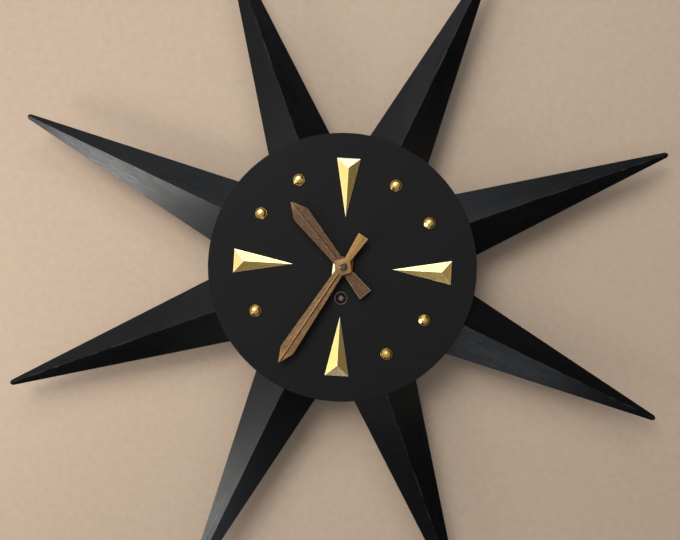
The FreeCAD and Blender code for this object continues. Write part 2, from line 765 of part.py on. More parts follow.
def ratchet_wheel():
    points = []
    step = 360.0 / RATCHET_TEETH
    for k in range(RATCHET_TEETH):
        way = 60.0 + step * k
        points.append(shifted(BARREL, polar(RATCHET_TIP_R, way)))
        points.append(shifted(BARREL, polar(RATCHET_ROOT_R, way + 0.4)))
        points.append(shifted(BARREL, polar(RATCHET_ROOT_R + 0.45, way + 5.4)))
        points.append(shifted(BARREL, polar(RATCHET_ROOT_R + 0.9, way + 10.2)))
    body = slab(points, 33.5, 35.0)
    collar = cyl(4.4, 34.8, 36.2, BARREL)
    return joined([body, collar]).cut(winding_square(33.0, 37.0))


def click():
    way = [(7.95, 61.6), (10.4, 61.0), (12.3, 66.0), (14.3, 96.0), (10.4, 98.0), (9.6, 86.0)]
    way += [(9.45, 77.0)]
    nose = slab([shifted(BARREL, polar(radius, turn)) for radius, turn in way], 33.5, 35.0)
    body = joined([nose, cyl(2.3, 33.5, 35.0, CLICK_SPOT)])
    return body.cut(cyl(1.0 + RUNNING, 33.0, 36.0, CLICK_SPOT))


def click_spring():
    # a bent flat spring that bears on the back of the click
    line = [(18.2, 52.0), (15.2, 62.0), (13.6, 70.0), (13.3, 75.0)]
    inside = [shifted(BARREL, polar(radius, turn)) for radius, turn in line]
    outside = [shifted(BARREL, polar(radius + 0.35, turn)) for radius, turn in line]
    leaf = slab(inside + outside[::-1], 33.6, 34.9)
    foot = cyl(1.8, FRONT_PLATE[1], 35.4, shifted(BARREL, polar(19.4, 52.0)))
    return joined([leaf, foot])


def second_wheel():
    outline = gear(SECOND_TEETH, SECOND_MODULE, CENTRE_LEAVES, SECOND, 0.0, True)
    wheel = crossed(slab(outline, 25.8, 27.0), SECOND, 4.2, 12.6, 5, 1.8, 25.8, 27.0)
    leaves = gear(SECOND_LEAVES, GREAT_MODULE, GREAT_TEETH, SECOND, SECOND_PINION_PHASE, False)
    collet = cyl(2.6, 24.6, 25.9, SECOND)
    return joined([wheel, slab(leaves, 19.8, 24.2), collet, arbor(SECOND, 1.5, 0.8)])


def centre_arbor():
    leaves = gear(CENTRE_LEAVES, SECOND_MODULE, SECOND_TEETH, CENTRE, CENTRE_PINION_PHASE, False)
    parts = [slab(leaves, 25.2, 27.6)]
    parts.append(cyl(0.8, BACK_PLATE[0] - 0.2, 9.8))
    parts.append(cyl(1.5, 9.7, MINUTE_RIDGE - 0.1))
    parts.append(cyl(1.2, MINUTE_RIDGE - 0.2, MINUTE_RIDGE + 1.85))
    return joined(parts)


def centre_wheel():
    outline = gear(CENTRE_TEETH, CENTRE_MODULE, THIRD_LEAVES, CENTRE, 0.0, True)
    wheel = crossed(slab(outline, 28.6, 29.8), CENTRE, 4.2, 12.2, 5, 1.7, 28.6, 29.8)
    return joined([wheel, cyl(2.8, 27.7, 30.6)]).cut(cyl(1.5, 20.0, 40.0))


def cannon_pinion():
    leaves = gear(CANNON_LEAVES, CANNON_MODULE, MINUTE_TEETH, CENTRE, 0.0, False)
    parts = [slab(leaves, 34.0, 36.3), cyl(2.2, 33.4, 53.6), cyl(1.8, 53.5, MINUTE_RIDGE - 0.05)]
    return joined(parts).cut(cyl(1.5, 30.0, 60.0))


def minute_wheel():
    outline = gear(MINUTE_TEETH, CANNON_MODULE, CANNON_LEAVES, MINUTE_STUD, MINUTE_PHASE, True)
    leaves = gear(MINUTE_LEAVES, HOUR_MODULE, HOUR_TEETH, MINUTE_STUD, 0.0, False)
    wheel = crossed(slab(outline, 34.6, 35.8), MINUTE_STUD, 3.4, 7.2, 4, 1.4, 34.6, 35.8)
    body = joined([wheel, cyl(3.0, 34.6, 35.9, MINUTE_STUD), slab(leaves, 35.7, 39.0)])
    return body.cut(cyl(1.2 + RUNNING, 34.0, 40.0, MINUTE_STUD))


def hour_wheel():
    outline = gear(HOUR_TEETH, HOUR_MODULE, MINUTE_LEAVES, CENTRE, HOUR_PHASE, True)
    wheel = crossed(slab(outline, 37.3, 38.5), CENTRE, 5.0, 7.8, 4, 1.6, 37.3, 38.5)
    pipe = cyl(3.5, 37.3, HOUR_FRONT + 0.3)
    return joined([wheel, pipe, cyl(4.3, 37.3, 39.6)]).cut(cyl(2.2 + RUNNING, 36.0, 60.0))


def third_wheel():
    outline = gear(THIRD_TEETH, THIRD_MODULE, FOURTH_LEAVES, THIRD, 0.0, True)
    wheel = crossed(slab(outline, 14.0, 15.0), THIRD, 3.2, 10.2, 5, 1.4, 14.0, 15.0)
    leaves = gear(THIRD_LEAVES, CENTRE_MODULE, CENTRE_TEETH, THIRD, THIRD_PHASE, False)
    collet = cyl(2.0, 14.9, 16.4, THIRD)
    return joined([wheel, slab(leaves, 27.8, 30.4), collet, arbor(THIRD, 0.9, 0.6)])


def fourth_wheel():
    outline = gear(FOURTH_TEETH, FOURTH_MODULE, ESCAPE_LEAVES, FOURTH, 0.0, True)
    wheel = crossed(slab(outline, 20.0, 20.9), FOURTH, 2.8, 9.6, 5, 1.2, 20.0, 20.9)
    leaves = gear(FOURTH_LEAVES, THIRD_MODULE, THIRD_TEETH, FOURTH, FOURTH_PHASE, False)
    collet = cyl(1.7, 20.8, 22.4, FOURTH)
    return joined([wheel, slab(leaves, 13.2, 15.8), collet, arbor(FOURTH, 0.8, 0.5)])


def escape_outline():
    points = []
    for k in range(ESCAPE_TEETH):
        way = LEVER_WAY + 360.0 / ESCAPE_TEETH * k
        points.append(shifted(ESCAPE, polar(ESCAPE_ROOT_R, way - 5.0)))
        points.append(shifted(ESCAPE, polar(ESCAPE_TIP_R, way - 0.9)))
        points.append(shifted(ESCAPE, polar(ESCAPE_TIP_R, way + 0.9)))
        points.append(shifted(ESCAPE, polar(ESCAPE_ROOT_R, way + 5.0)))
    return points


def escape_wheel():
    wheel = crossed(slab(escape_outline(), 25.0, 25.8), ESCAPE, 1.9, 3.7, 4, 0.8, 25.0, 25.8)
    leaves = gear(ESCAPE_LEAVES, FOURTH_MODULE, FOURTH_TEETH, ESCAPE, ESCAPE_PHASE, False)
    collet = cyl(1.5, 23.9, 25.1, ESCAPE)
    return joined([wheel, slab(leaves, 19.2, 21.8), collet, arbor(ESCAPE, 0.75, 0.45)])


def pallet_pin_spots():
    pitch = 360.0 / ESCAPE_TEETH
    turns = (LEVER_WAY - 1.25 * pitch, LEVER_WAY + 1.25 * pitch)
    return [shifted(ESCAPE, polar(PALLET_REACH, turn)) for turn in turns]


def lever_bar(start, end, half_start, half_end):
    dx = end[0] - start[0]
    dz = end[1] - start[1]
    gap = math.hypot(dx, dz)
    nx = -dz / gap
    nz = dx / gap
    first = (start[0] + nx * half_start, start[1] + nz * half_start)
    second = (end[0] + nx * half_end, end[1] + nz * half_end)
    third = (end[0] - nx * half_end, end[1] - nz * half_end)
    fourth = (start[0] - nx * half_start, start[1] - nz * half_start)
    return slab([first, second, third, fourth], 23.0, 23.8)


def pallet_lever():
    shapes = [cyl(1.4, 23.0, 23.8, PALLET), arbor(PALLET, 0.6, 0.4)]
    for spot in pallet_pin_spots():
        shapes.append(lever_bar(PALLET, spot, 0.9, 0.5))
        shapes.append(cyl(0.55, 23.0, 23.8, spot))
        shapes.append(cyl(PALLET_PIN_R, 23.4, 26.4, spot))
    neck = shifted(PALLET, polar(FORK_DISTANCE - IMPULSE_R - 0.5, LEVER_WAY))
    shapes.append(lever_bar(PALLET, neck, 0.9, 0.58))
    tip = FORK_DISTANCE - IMPULSE_R + 0.35
    for side in (-1.0, 1.0):
        inner = [shifted(polar(0.30 * side, LEVER_WAY + 90.0), polar(reach, LEVER_WAY))
                 for reach in (tip - 1.0, tip)]
        outer = [shifted(polar(0.58 * side, LEVER_WAY + 90.0), polar(reach, LEVER_WAY))
                 for reach in (tip, tip - 1.0)]
        prong = [shifted(PALLET, spot) for spot in inner + outer]
        shapes.append(slab(prong, 23.0, 23.8))
    return joined(shapes)


def balance_wheel():
    wheel = cyl(BALANCE_R, 16.0, 17.4, BALANCE)
    return crossed(wheel, BALANCE, 2.0, 6.7, 3, 1.3, 16.0, 17.4).cut(cyl(0.8, 15, 19, BALANCE))


def balance_staff():
    start = LEVER_WAY + 180.0 - 60.0
    pin = shifted(BALANCE, polar(IMPULSE_R, start))
    parts = [cyl(0.8, 11.0, 30.0, BALANCE), cyl(0.4, 9.3, 31.7, BALANCE)]
    parts.append(cyl(2.9, 21.2, 22.2, BALANCE))
    parts.append(cyl(0.25, 22.1, 24.2, pin))
    parts.append(cyl(1.2, 11.2, 12.6, BALANCE))
    return joined(parts)


def hairspring():
    return spiral(BALANCE, 1.35, 5.2, 6, 0.14, 24, 210.0, 11.5, 12.3)


def hairspring_stud():
    spot = shifted(BALANCE, polar(5.85, 210.0))
    return cyl(0.55, BACK_PLATE[1], 12.6, spot)


def balance_cups():
    rear = joined([cyl(1.75, 6.3, 10.5, BALANCE), cyl(2.9, 5.3, 6.35, BALANCE)])
    slot = block(BALANCE[0] - 4, BALANCE[0] + 4, BALANCE[1] - 0.35, BALANCE[1] + 0.35, 5.0, 5.8)
    rear = rear.cut(slot).cut(cyl(0.4 + RUNNING, 9.2, 11.0, BALANCE))
    front = joined([cyl(1.75, 30.5, 33.2, BALANCE), cyl(2.9, 33.0, 34.0, BALANCE)])
    return group([rear, front.cut(cyl(0.4 + RUNNING, 30.0, 31.8, BALANCE))])


def regulator():
    ring = cyl(3.0, 6.45, 7.85, BALANCE)
    parts = [ring]
    tail = block(BALANCE[0] - 0.9, BALANCE[0] + 0.9, BALANCE[1], BALANCE[1] + 13.6, 6.45, 7.25)
    parts.append(spin(tail, 120.0, BALANCE))
    tab = block(BALANCE[0] - 0.9, BALANCE[0] + 0.9, BALANCE[1] + 12.8, BALANCE[1] + 13.6, 1.3, 7.2)
    parts.append(spin(tab, 120.0, BALANCE))
    arm = block(BALANCE[0] - 1.0, BALANCE[0] + 1.0, BALANCE[1], BALANCE[1] + 6.2, 6.45, 7.25)
    parts.append(spin(arm, -60.0, BALANCE))
    for reach in (4.65, 5.6):
        parts.append(cyl(0.2, 7.0, 12.8, shifted(BALANCE, polar(reach, 150.0))))
    return joined(parts).cut(cyl(1.75 + RUNNING, 5.0, 9.0, BALANCE))


def build():
    save("dial", dial())
    save("winding_eyelet", winding_eyelet())
    for hour in (12, 3, 6, 9):
        save("marker_%d" % hour, marker(30.0 * (hour % 12)))
    save("hour_dots", group([dot(turn) for turn in dot_turns()]))
    for number, turn in enumerate(ray_turns()):
        save("ray_%d" % (number + 1), ray(turn))
    simple = [hub, ray_screws, ray_dowels, dial_feet, dial_nuts, back_cover, cover_screws]
    simple += [hanger_plate, hanger_rivets, hour_hand, hour_collet, minute_hand, hand_nut]
    simple += [front_plate, back_plate, pillars, pillar_nuts, movement_posts, movement_screws]
    simple += [barrel, barrel_cap, mainspring, winding_arbor, ratchet_wheel, click, click_spring]
    simple += [second_wheel, centre_arbor, centre_wheel, cannon_pinion, minute_wheel, hour_wheel]
    simple += [third_wheel, fourth_wheel, escape_wheel, pallet_lever, balance_wheel]
    simple += [balance_staff, hairspring, hairspring_stud, balance_cups, regulator]
    for maker in simple:
        save(maker.__name__, maker())


build()
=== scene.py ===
"""Gives the sunburst wall clock its finishes, and sets its floor, light and camera."""

import math

import bpy
from mathutils import Matrix, Vector


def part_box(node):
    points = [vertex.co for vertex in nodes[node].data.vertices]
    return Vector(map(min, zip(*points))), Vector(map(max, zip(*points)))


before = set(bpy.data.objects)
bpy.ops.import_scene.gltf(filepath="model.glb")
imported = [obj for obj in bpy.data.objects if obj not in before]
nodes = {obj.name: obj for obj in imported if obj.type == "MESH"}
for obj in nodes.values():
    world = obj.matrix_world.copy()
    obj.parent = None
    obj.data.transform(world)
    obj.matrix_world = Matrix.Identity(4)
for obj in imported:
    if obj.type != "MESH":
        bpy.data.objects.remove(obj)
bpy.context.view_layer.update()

# Turns are in degrees, clockwise from 12 o'clock. Lengths are in metres, written in millimetres.
MM = 0.001
DIAL_DEPTH = -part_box("dial")[0].y  # from the wall to the dial's front
RAY_COUNT = 8
FIRST_RAY = 22.5

# An hour marker: its outer end, its peak and its point from the centre, and its half width.
MARKER_OUTER = 101.0 * MM
MARKER_PEAK = 91.2 * MM
MARKER_INNER = 46.4 * MM
MARKER_HALF = 11.0 * MM
MARKER_TURNS = {"marker_12": 0.0, "marker_3": 90.0, "marker_6": 180.0, "marker_9": 270.0}
MARKER_END_HIGHLIGHT = {"marker_12": 0.8, "marker_6": 0.5}  # how pale a painted highlight makes the end facet

# An hour dot gets painted shade, a brown band, up to the first height above the dial, and none
# above the second.
DOT_FOOT = (0.8 * MM, 1.3 * MM)

# The square boss of the hour hand, from the centre: its flat's corner, and a limit just past its
# foot's corner. Then half the width of the blade where it leaves the boss.
BOSS_CORNER = 9.0 * MM
BOSS_LIMIT = 14.0 * MM
BLADE_HALF = 4.6 * MM

# The rib of a hand: where it starts, and how far from its line the painted highlight on one flank
# and the painted shade on the other reach.
RIB_START = 8.0 * MM
RIB_HIGHLIGHT = 1.1 * MM
RIB_SHADE = 1.6 * MM

PALE_BRASS = (0.84, 0.65, 0.32)
DARK_BRASS = (0.66, 0.48, 0.22)


def rgb(red, green, blue):
    return (red, green, blue, 1.0)


def shade(colour, share):
    """A colour at a share of its brightness."""
    return rgb(*[share * part for part in colour])


# rub: where the gold of the tip starts and is full, along the hand. tail_rub: its share on the
# tail. tail: its half width if it ran in to the axis, how fast it widens, and its length.
# shade_side: the side of the rib that takes the painted shade, 1 or -1. rib_shade: how strong the
# painted shade is. rib_highlight: how strong the painted gold highlight on the other side is.
# boss_highlight: if one slope of a square boss gets a painted highlight.
HOUR_HAND = {
    "turn": 318.1,
    "pale": rgb(0.170, 0.085, 0.034),
    "deep": rgb(0.062, 0.029, 0.011),
    "gold": rgb(0.40, 0.26, 0.14),
    "rub": (66.0 * MM, 78.0 * MM),
    "tail_rub": 0.0,
    "tail": (3.5 * MM, 0.0913, 33.2 * MM),
    "shade_side": 1.0,
    "rib_shade": 0.6,
    "rib_highlight": 0.15,
    "boss_highlight": True,
}
MINUTE_HAND = {
    "turn": 210.6,
    "pale": rgb(0.31, 0.168, 0.066),
    "deep": rgb(0.120, 0.062, 0.023),
    "gold": rgb(0.54, 0.300, 0.092),
    "rub": (90.0 * MM, 103.0 * MM),
    "tail_rub": 0.85,
    "tail": (2.15 * MM, 0.0878, 33.6 * MM),
    "shade_side": -1.0,
    "rib_shade": 0.9,
    "rib_highlight": 0.45,
    "boss_highlight": False,
}

# ------------------------------------------------------------ node helpers


class Tree:
    """A small builder for one material's nodes."""

    def __init__(self, name):
        self.material = bpy.data.materials.new(name)
        self.material.use_nodes = True
        self.tree = self.material.node_tree
        self.tree.nodes.clear()
        self.out = self.tree.nodes.new("ShaderNodeOutputMaterial")
        self.shader = self.tree.nodes.new("ShaderNodeBsdfPrincipled")
        self.link(self.shader.outputs["BSDF"], self.out.inputs["Surface"])

    def link(self, source, target):
        self.tree.links.new(source, target)

    def put(self, socket, value):
        """Links a node's result to a socket, or sets the socket to a number or a colour."""
        if isinstance(value, bpy.types.NodeSocket):
            self.link(value, socket)
        else:
            socket.default_value = value

    def set(self, **values):
        """Sets inputs of the surface shader by name, with _ for a space."""
        for key, value in values.items():
            self.put(self.shader.inputs[key.replace("_", " ")], value)

    def place(self, turn=0.0, scale=(1.0, 1.0, 1.0), shift=(0.0, 0.0, 0.0)):
        """Object coordinates turned about the clock's axis, then scaled."""
        coords = self.tree.nodes.new("ShaderNodeTexCoord")
        first = self.tree.nodes.new("ShaderNodeMapping")
        first.vector_type = "POINT"
        first.inputs["Rotation"].default_value = (0.0, -math.radians(turn), 0.0)
        self.link(coords.outputs["Object"], first.inputs["Vector"])
        second = self.tree.nodes.new("ShaderNodeMapping")
        second.inputs["Scale"].default_value = scale
        second.inputs["Location"].default_value = shift
        self.link(first.outputs["Vector"], second.inputs["Vector"])
        return second.outputs["Vector"]

    def normal(self):
        """The surface's direction in the object's own coordinates."""
        return self.tree.nodes.new("ShaderNodeTexCoord").outputs["Normal"]

    def noise(self, vector, scale, detail=4.0, rough=0.55, warp=0.0):
        n = self.tree.nodes.new("ShaderNodeTexNoise")
        n.inputs["Scale"].default_value = scale
        n.inputs["Detail"].default_value = detail
        n.inputs["Roughness"].default_value = rough
        n.inputs["Distortion"].default_value = warp
        self.link(vector, n.inputs["Vector"])
        return n.outputs["Fac"]

    def cells(self, vector, scale):
        """The distance to the nearest of many scattered points."""
        n = self.tree.nodes.new("ShaderNodeTexVoronoi")
        n.inputs["Scale"].default_value = scale
        self.link(vector, n.inputs["Vector"])
        return n.outputs["Distance"]

    def span(self, value, low, high, to_low=0.0, to_high=1.0):
        """A smooth step from to_low, where the value is low, to to_high, where it is high."""
        n = self.tree.nodes.new("ShaderNodeMapRange")
        n.interpolation_type = "SMOOTHSTEP"
        n.inputs["From Min"].default_value = low
        n.inputs["From Max"].default_value = high
        n.inputs["To Min"].default_value = to_low
        n.inputs["To Max"].default_value = to_high
        self.put(n.inputs["Value"], value)
        return n.outputs["Result"]

    def math(self, kind, first, second=0.0):
        n = self.tree.nodes.new("ShaderNodeMath")
        n.operation = kind
        self.put(n.inputs[0], first)
        self.put(n.inputs[1], second)
        return n.outputs[0]

    def times(self, first, second):
        return self.math("MULTIPLY", first, second)

    def plus(self, first, second):
        return self.math("ADD", first, second)

    def minus(self, first, second):
        return self.math("SUBTRACT", first, second)

    def most(self, first, second):
        return self.math("MAXIMUM", first, second)

    def least(self, first, second):
        return self.math("MINIMUM", first, second)

    def size(self, value):
        return self.math("ABSOLUTE", value)

    def parts(self, vector):
        n = self.tree.nodes.new("ShaderNodeSeparateXYZ")
        self.link(vector, n.inputs[0])
        return n.outputs

    def mix(self, share, first, second):
        """The first colour, with a share of the second."""
        n = self.tree.nodes.new("ShaderNodeMix")
        n.data_type = "RGBA"
        self.put(n.inputs[0], share)
        self.put(n.inputs[6], first)
        self.put(n.inputs[7], second)
        return n.outputs[2]

    def bump(self, height, distance, strength=1.0, after=None):
        n = self.tree.nodes.new("ShaderNodeBump")
        n.inputs["Strength"].default_value = strength
        n.inputs["Distance"].default_value = distance
        self.link(height, n.inputs["Height"])
        if after is not None:
            self.link(after, n.inputs["Normal"])
        return n.outputs["Normal"]


# ---------------------------------------------------------------- finishes


def dial_black():
    """Flat black paint with a little dust, and scuffs that run across it."""
    t = Tree("dial_black")
    here = t.place()
    broad = t.noise(here, 9.0, 3.0)
    grain = t.noise(here, 900.0, 2.0)
    specks = t.span(t.cells(here, 330.0), 0.02, 0.10, 1.0, 0.0)
    dust = t.times(specks, t.span(t.noise(here, 60.0, 2.0), 0.60, 0.68))
    scuffs = t.span(t.noise(t.place(35.0, (1.0, 1.0, 9.0)), 45.0, 5.0), 0.56, 0.75)
    base = t.mix(broad, rgb(0.0095, 0.0096, 0.0100), rgb(0.0125, 0.0123, 0.0122))
    base = t.mix(t.times(scuffs, 0.2), base, rgb(0.020, 0.020, 0.020))
    base = t.mix(t.times(dust, 0.4), base, rgb(0.085, 0.080, 0.072))
    rough = t.plus(t.span(broad, 0.3, 0.7, 0.48, 0.58), t.times(scuffs, 0.06))
    t.set(Base_Color=base, Roughness=rough, Specular_IOR_Level=0.06)
    t.set(Normal=t.bump(grain, 0.04 * MM, 0.5))
    return t.material


def ray_black(turn):
    """Black satin lacquer with fine rubbing marks along one ray, worn a little on its ridge."""
    t = Tree("ray_black_%d" % round(turn * 10))
    here = t.place(turn)
    fine = t.noise(t.place(turn, (1.0, 1.0, 0.03), (0.37 * turn, 0.0, 0.0)), 2400.0, 3.0)
    streak = t.noise(t.place(turn, (1.0, 1.0, 0.045), (0.0, 0.0, 0.11 * turn)), 700.0, 4.0, 0.6)
    broad = t.noise(t.place(turn, (1.0, 1.0, 0.3), (turn, 0.0, 0.0)), 26.0, 3.0)
    ridge = t.span(t.size(t.parts(here)["X"]), 0.2 * MM, 1.1 * MM, 1.0, 0.0)
    ridge = t.times(ridge, t.span(t.parts(t.normal())["Y"], -0.15, -0.35))
    paler_mask = t.times(ridge, t.span(t.noise(here, 70.0, 4.0), 0.42, 0.60))
    chips = t.times(ridge, t.span(t.noise(here, 420.0, 3.0), 0.66, 0.71))
    base = t.mix(streak, rgb(0.0008, 0.0010, 0.0016), rgb(0.0026, 0.0028, 0.0036))
    base = t.mix(t.times(paler_mask, 0.35), base, rgb(0.045, 0.046, 0.048))
    base = t.mix(chips, base, rgb(0.10, 0.065, 0.04))
    rough = t.span(streak, 0.3, 0.7, 0.27, 0.35)
    rough = t.plus(rough, t.span(broad, 0.35, 0.7, -0.02, 0.05))
    marks = t.bump(streak, 0.06 * MM, 0.5, t.bump(fine, 0.02 * MM, 0.5))
    t.set(Base_Color=base, Roughness=rough, Normal=marks, Specular_IOR_Level=0.25)
    return t.material


def facet_edges(t, here):
    """1 along the edges between a marker's facets, and 1 over its outer end facet."""
    side = t.parts(here)
    out = t.size(side["X"])
    ahead = t.minus(side["Z"], MARKER_PEAK)
    corner = math.atan2(MARKER_OUTER - MARKER_PEAK, MARKER_HALF)
    beyond = t.minus(t.times(ahead, math.cos(corner)), t.times(out, math.sin(corner)))
    ridge = t.least(t.most(out, ahead), t.size(beyond))
    taper = MARKER_HALF / (MARKER_OUTER - MARKER_INNER)
    flank = t.times(t.minus(side["Z"], MARKER_INNER), taper)
    border = t.least(t.minus(flank, out), t.minus(MARKER_OUTER, side["Z"]))
    edge = t.most(t.span(ridge, 0.6 * MM, 0.2 * MM), t.span(border, 0.6 * MM, 0.2 * MM))
    return edge, t.span(beyond, 0.0, 0.3 * MM)


def brass(name, turn, patina, detail):
    """Lacquered brass, with a fine grain and small brown spots where the lacquer has failed.

    patina is the strength of its mottling and spots. detail takes the tree, the base colour and
    the grain, and gives the colour with the marks that go with the piece's shape.
    """
    t = Tree("marker_brass_" + name)
    brushed = t.noise(t.place(turn, (1.0, 1.0, 0.06)), 1500.0, 3.0)
    cloud = t.noise(t.place(turn), 75.0, 4.0)
    mottle = t.span(t.noise(t.place(turn), 240.0, 5.0, 0.65), 0.50, 0.66)
    spots = t.noise(t.place(turn, (1.0, 1.0, 1.0), (0.2, 0.0, 0.3)), 520.0, 4.0)
    spots = t.span(spots, 0.60, 0.70)
    base = t.mix(cloud, rgb(0.93, 0.58, 0.145), rgb(0.98, 0.71, 0.26))
    base = t.mix(t.times(mottle, 0.26 * patina), base, rgb(0.70, 0.40, 0.13))
    base = detail(t, base, brushed)
    base = t.mix(t.times(spots, 0.5 * patina), base, rgb(0.36, 0.20, 0.075))
    rough = t.plus(t.span(brushed, 0.3, 0.7, 0.20, 0.32), t.times(spots, 0.15))
    bump = t.bump(brushed, 0.03 * MM, 0.6, t.bump(cloud, 0.2 * MM, 0.10))
    t.set(Base_Color=base, Metallic=1.0, Roughness=rough, Normal=bump)
    return t.material


def marker_brass(node):
    """Brass with a painted highlight, partly edge wear, along a marker's edges, and a painted
    highlight that makes the end facet of some pale.
    """
    turn = MARKER_TURNS[node]
    end = MARKER_END_HIGHLIGHT.get(node, 0.0)

    def detail(t, base, brushed):
        edge, tip = facet_edges(t, t.place(turn))
        # Painted highlight: the end facet of some markers is mixed toward a pale cream
        end_highlight = t.span(brushed, 0.35, 0.65, 0.6 * end, end)
        base = t.mix(t.times(tip, end_highlight), base, rgb(0.86, 0.80, 0.66))
        # Painted highlight, partly edge wear: a bright pale gold along the edges between the
        # facets
        return t.mix(t.times(edge, 0.6), base, rgb(1.0, 0.91, 0.62))

    return brass(node.replace("marker_", ""), turn, 0.55, detail)


def dot_brass():
    """Brass with painted shade, a brown band, around the foot of each dot."""
    turn = 20.0  # of the grain, which is the same on all of the dots

    def detail(t, base, brushed):
        height = t.minus(t.times(t.parts(t.place(turn))["Y"], -1.0), DIAL_DEPTH)
        # Painted shade: the foot of each dot, next to the dial, is mixed toward dark brown
        foot = t.span(height, DOT_FOOT[1], DOT_FOOT[0], 0.0, 0.8)
        return t.mix(foot, base, rgb(0.26, 0.125, 0.035))

    return brass("dots", turn, 1.1, detail)


def rib_light_and_shade(t, hand, base, here, side):
    """A painted gold highlight on one flank of the rib, and painted shade along its other flank.
    """
    outward = t.span(side["Z"], RIB_START, RIB_START + 3.0 * MM)
    across = t.times(side["X"], -hand["shade_side"])
    # Painted highlight: the lit flank of the rib is mixed toward gold
    lit_flank = t.span(across, -0.2 * MM, 0.1 * MM)
    lit_flank = t.times(lit_flank, t.span(across, RIB_HIGHLIGHT, RIB_HIGHLIGHT - 0.4 * MM))
    base = t.mix(t.times(t.times(lit_flank, outward), hand["rib_highlight"]), base, hand["gold"])
    # Painted shade: a dark band along the other flank of the rib
    rib_shade = t.span(across, -RIB_SHADE, 0.4 * MM - RIB_SHADE)
    rib_shade = t.times(rib_shade, t.span(across, 0.0, -0.2 * MM))
    patchy = t.times(t.span(t.noise(here, 140.0, 3.0), 0.30, 0.55, 0.7, 0.95), outward)
    rib_shade = t.times(t.times(rib_shade, patchy), hand["rib_shade"])
    return t.mix(rib_shade, base, rgb(0.016, 0.008, 0.004))


def tail_rim(t, hand, side, speckle):
    """1 along the outer edges of the hand's tail, broken up a little."""
    half, widening, length = hand["tail"]
    flare = t.times(side["Z"], -widening)
    inset = t.minus(t.plus(flare, half), t.size(side["X"]))
    inset = t.least(inset, t.plus(side["Z"], length))
    rim = t.times(t.span(inset, 0.9 * MM, 0.3 * MM), t.span(side["Z"], -9.0 * MM, -13.0 * MM))
    return t.times(rim, t.span(speckle, 0.35, 0.6, 0.25, 0.8))


def boss_slope(t, side):
    """1 on the one slope of the square boss that gets a painted highlight."""
    reach = t.plus(t.size(side["X"]), t.size(side["Z"]))
    slope = t.span(reach, BOSS_CORNER, BOSS_CORNER + 0.3 * MM)
    slope = t.times(slope, t.span(t.size(side["X"]), BLADE_HALF, BLADE_HALF + 0.4 * MM))
    slope = t.times(slope, t.span(reach, BOSS_LIMIT + 0.5 * MM, BOSS_LIMIT))
    # Only the slope on one side of the boss gets the painted highlight
    paler_mask = t.span(t.minus(side["Z"], side["X"]), 5.0 * MM, 8.0 * MM)
    return t.times(slope, t.times(paler_mask, t.span(side["Z"], -0.5 * MM, 0.5 * MM)))


def hand_bronze(name, hand):
    """Bronzed metal with a grain along the hand, gold where it is rubbed, painted light and shade
    on its rib.
    """
    t = Tree("hand_bronze_" + name)
    turn = hand["turn"]
    here = t.place(turn)
    side = t.parts(here)
    grain = t.noise(t.place(turn, (1.0, 1.0, 0.10)), 1900.0, 5.0, 0.7, 0.3)
    bands = t.noise(t.place(turn, (1.0, 1.0, 0.12)), 420.0, 3.0, 0.5, 0.8)
    speckle = t.noise(here, 1500.0, 3.0, 0.7)
    pores = t.span(t.noise(t.place(turn, (1.0, 1.0, 0.25)), 2100.0, 3.0), 0.58, 0.68)
    base = t.mix(t.span(grain, 0.40, 0.60), hand["deep"], hand["pale"])
    base = t.mix(t.span(bands, 0.45, 0.62, 0.0, 0.3), base, hand["deep"])
    base = t.mix(t.times(pores, 0.5), base, rgb(0.035, 0.018, 0.009))
    back = t.span(side["Z"], 10.0 * MM, -6.0 * MM, 0.0, hand["tail_rub"])
    rubbed = t.most(t.span(side["Z"], *hand["rub"]), back)
    fleck = t.span(speckle, 0.40, 0.62, 0.35, 1.0)
    base = t.mix(t.times(t.times(rubbed, fleck), 0.95), base, hand["gold"])
    base = rib_light_and_shade(t, hand, base, here, side)
    rim = tail_rim(t, hand, side, speckle)
    base = t.mix(rim, base, hand["gold"])
    metallic = t.times(t.most(rubbed, rim), 0.6)
    rough = t.span(grain, 0.3, 0.7, 0.36, 0.52)
    if hand["boss_highlight"]:
        slope = boss_slope(t, side)
        # Painted highlight: that slope of the boss is mixed toward a pale cream brass
        base = t.mix(slope, base, rgb(0.92, 0.78, 0.50))
        metallic = t.most(metallic, slope)
        rough = t.minus(rough, t.times(slope, 0.2))
    t.set(Base_Color=base, Metallic=metallic, Roughness=rough, Specular_IOR_Level=0.3)
    t.set(Normal=t.bump(grain, 0.07 * MM, 0.7))
    return t.material


def metal(name, pale, dark, rough_low, rough_high, scale=700.0, stretch=(1.0, 1.0, 1.0)):
    """Bare metal with fine marks and a few stains; a small Z stretch makes the marks a grain."""
    t = Tree(name)
    marks = t.noise(t.place(0.0, stretch), scale, 4.0)
    cloud = t.noise(t.place(), 55.0, 4.0)
    stain = t.span(t.noise(t.place(), 190.0, 4.0), 0.60, 0.72)
    base = t.mix(cloud, rgb(*dark), rgb(*pale))
    base = t.mix(t.times(stain, 0.3), base, shade(dark, 0.45))
    rough = t.plus(t.span(marks, 0.3, 0.7, rough_low, rough_high), t.times(stain, 0.1))
    bump = t.bump(marks, 0.04 * MM, 0.5)
    t.set(Base_Color=base, Metallic=1.0, Roughness=rough, Normal=bump)
    return t.material


